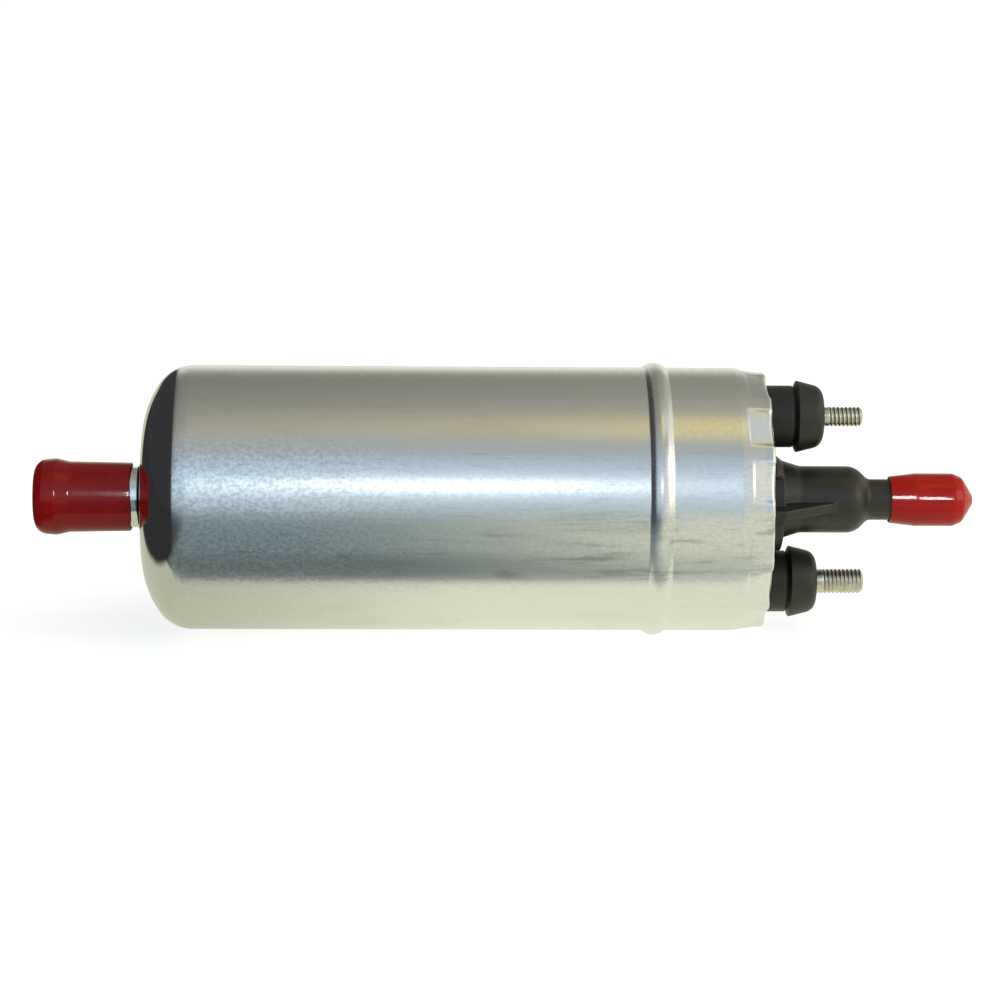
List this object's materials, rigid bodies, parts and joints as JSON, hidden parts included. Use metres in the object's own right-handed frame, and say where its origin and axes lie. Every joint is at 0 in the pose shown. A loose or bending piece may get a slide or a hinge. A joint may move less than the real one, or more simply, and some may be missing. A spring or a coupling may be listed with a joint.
{
  "type": "inline electric fuel pump",
  "caption": "Inline electric fuel pump: crimped aluminium can with a gear pump and motor inside, capped hose ends and threaded terminals in rubber boots.",
  "frame": {"origin": "on the pump axis, in the plain part of the can where a band clamp sits, 54 mm from the dome's face", "axes": "+X along the axis towards the outlet, +Z towards the minus terminal, so both terminals lie in the XZ plane"},
  "size_m": [0.1856, 0.0538, 0.0538],
  "materials": {
    "can_aluminium": "drawn aluminium, lightly brushed along the can",
    "polished_tube": "turned and polished",
    "inlet_vinyl": "dip-moulded vinyl, glossy, dark red",
    "outlet_vinyl": "dip-moulded vinyl, glossy, bright red",
    "cover_plastic": "glass-filled moulding, satin black",
    "boot_rubber": "moulded rubber, matt black",
    "stud_steel": "yellow passivated thread",
    "sintered_steel": "ground sintered steel",
    "bright_steel": "bright drawn steel",
    "tube_steel": "phosphated steel",
    "lamination_steel": "stamped electrical steel",
    "ferrite": "sintered ferrite",
    "copper": "enamelled or drawn copper",
    "brass": "stamped brass",
    "bronze": "sintered bronze",
    "carbon": "pressed carbon",
    "moulding": "phenolic moulding",
    "nylon": "natural nylon"
  },
  "bodies": {
    "housing": {"pump_can": "can_aluminium", "inlet_spigot": "polished_tube", "connection_cover": "cover_plastic", "stud_plus": "stud_steel", "stud_minus": "stud_steel", "inlet_strainer": "nylon", "intake_cover": "sintered_steel", "gear_ring": "sintered_steel", "discharge_plate": "sintered_steel", "section_screws": "bright_steel", "relief_spring": "bright_steel", "front_bushing": "bronze", "rear_bushing": "bronze", "flux_tube": "tube_steel", "magnet_left": "ferrite", "magnet_right": "ferrite", "magnet_clips": "bright_steel", "front_thrust_washer": "nylon", "rear_thrust_washer": "nylon", "brush_carrier": "moulding", "brush_spring_plus": "bright_steel", "brush_spring_minus": "bright_steel", "terminal_strip_plus": "brass", "terminal_strip_minus": "brass", "stud_seal_plus": "boot_rubber", "stud_seal_minus": "boot_rubber", "cover_seal": "boot_rubber", "check_valve_seat": "brass", "check_valve_spring": "bright_steel"},
    "armature": {"armature_shaft": "bright_steel", "armature_laminations": "lamination_steel", "front_insulator": "nylon", "rear_insulator": "nylon", "armature_windings": "copper", "commutator_hub": "moulding", "commutator_bars": "copper", "shaft_spacer": "nylon", "inner_rotor": "sintered_steel"},
    "outer_rotor": {"outer_rotor": "sintered_steel"},
    "check_valve": {"check_valve_poppet": "nylon"},
    "relief_valve": {"relief_ball": "bright_steel"},
    "plus_brush": {"brush_plus": "carbon"},
    "minus_brush": {"brush_minus": "carbon"},
    "inlet_cap": {"inlet_cap": "inlet_vinyl"},
    "outlet_cap": {"outlet_cap": "outlet_vinyl"},
    "plus_boot": {"boot_plus": "boot_rubber"},
    "minus_boot": {"boot_minus": "boot_rubber"}
  },
  "joints": [
    {"name": "armature_spin", "type": "hinge", "parent": "housing", "child": "armature", "pos_m": [0, 0, 0], "axis": [1, 0, 0], "continuous": true},
    {"name": "outer_rotor_spin", "type": "hinge", "parent": "housing", "child": "outer_rotor", "pos_m": [-0.03648, -0.0013, 0], "axis": [1, 0, 0], "continuous": true},
    {"name": "check_valve_lift", "type": "slide", "parent": "housing", "child": "check_valve", "axis": [1, 0, 0], "range_m": [0, 0.002], "stiffness_N_per_m": 100, "springref_m": -0.002, "deforming": ["check_valve_spring"]},
    {"name": "relief_valve_lift", "type": "slide", "parent": "housing", "child": "relief_valve", "axis": [-1, 0, 0], "range_m": [0, 0.0015], "stiffness_N_per_m": 100, "springref_m": -0.002, "deforming": ["relief_spring"]},
    {"name": "plus_brush_slide", "type": "slide", "parent": "housing", "child": "plus_brush", "axis": [0, 0, -1], "range_m": [0, 0.002], "stiffness_N_per_m": 100, "springref_m": -0.002, "deforming": ["brush_spring_plus"]},
    {"name": "minus_brush_slide", "type": "slide", "parent": "housing", "child": "minus_brush", "axis": [0, 0, 1], "range_m": [0, 0.002], "stiffness_N_per_m": 100, "springref_m": -0.002, "deforming": ["brush_spring_minus"]},
    {"name": "inlet_cap_pull", "type": "slide", "parent": "housing", "child": "inlet_cap", "axis": [-1, 0, 0], "range_m": [0, 0.025]},
    {"name": "outlet_cap_pull", "type": "slide", "parent": "housing", "child": "outlet_cap", "axis": [1, 0, 0], "range_m": [0, 0.02]},
    {"name": "plus_boot_pull", "type": "slide", "parent": "housing", "child": "plus_boot", "axis": [1, 0, 0], "range_m": [0, 0.025]},
    {"name": "minus_boot_pull", "type": "slide", "parent": "housing", "child": "minus_boot", "axis": [1, 0, 0], "range_m": [0, 0.025]}
  ],
  "couplings": [
    {"joint": "outer_rotor_spin", "follows": "armature_spin", "ratio": 0.85714}
  ]
}
